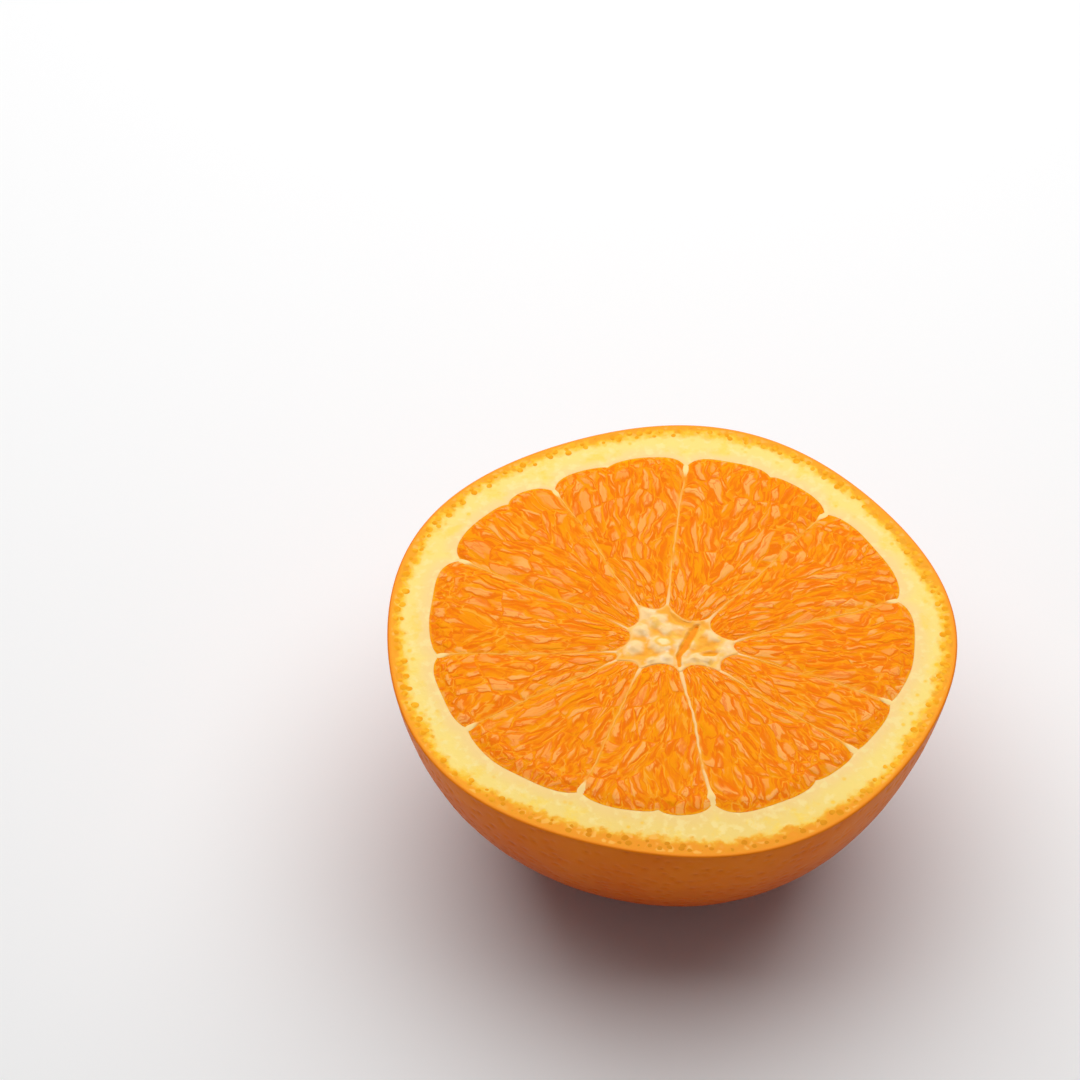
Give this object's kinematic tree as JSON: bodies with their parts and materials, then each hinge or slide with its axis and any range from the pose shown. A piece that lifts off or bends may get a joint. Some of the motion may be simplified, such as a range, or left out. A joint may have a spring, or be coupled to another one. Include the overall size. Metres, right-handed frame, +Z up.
{
  "type": "orange half",
  "caption": "Round citrus fruit cut across in half, resting on its peel with the cut face level and up: thin skin, pale pith ring, juicy segments and a spongy split core.",
  "frame": {"origin": "under the middle of the fruit, on the surface that it rests on", "axes": "+Z up, out of the cut face; +X to the right in the shown view; +Y to the back"},
  "size_m": [0.076, 0.0762, 0.0363],
  "materials": {
    "peel": "waxy orange peel with fine pores",
    "pith": "matt spongy pale yellow pith",
    "flesh": "wet translucent orange juice sacs"
  },
  "bodies": {
    "root": {"orange_half": "peel"}
  },
  "joints": []
}
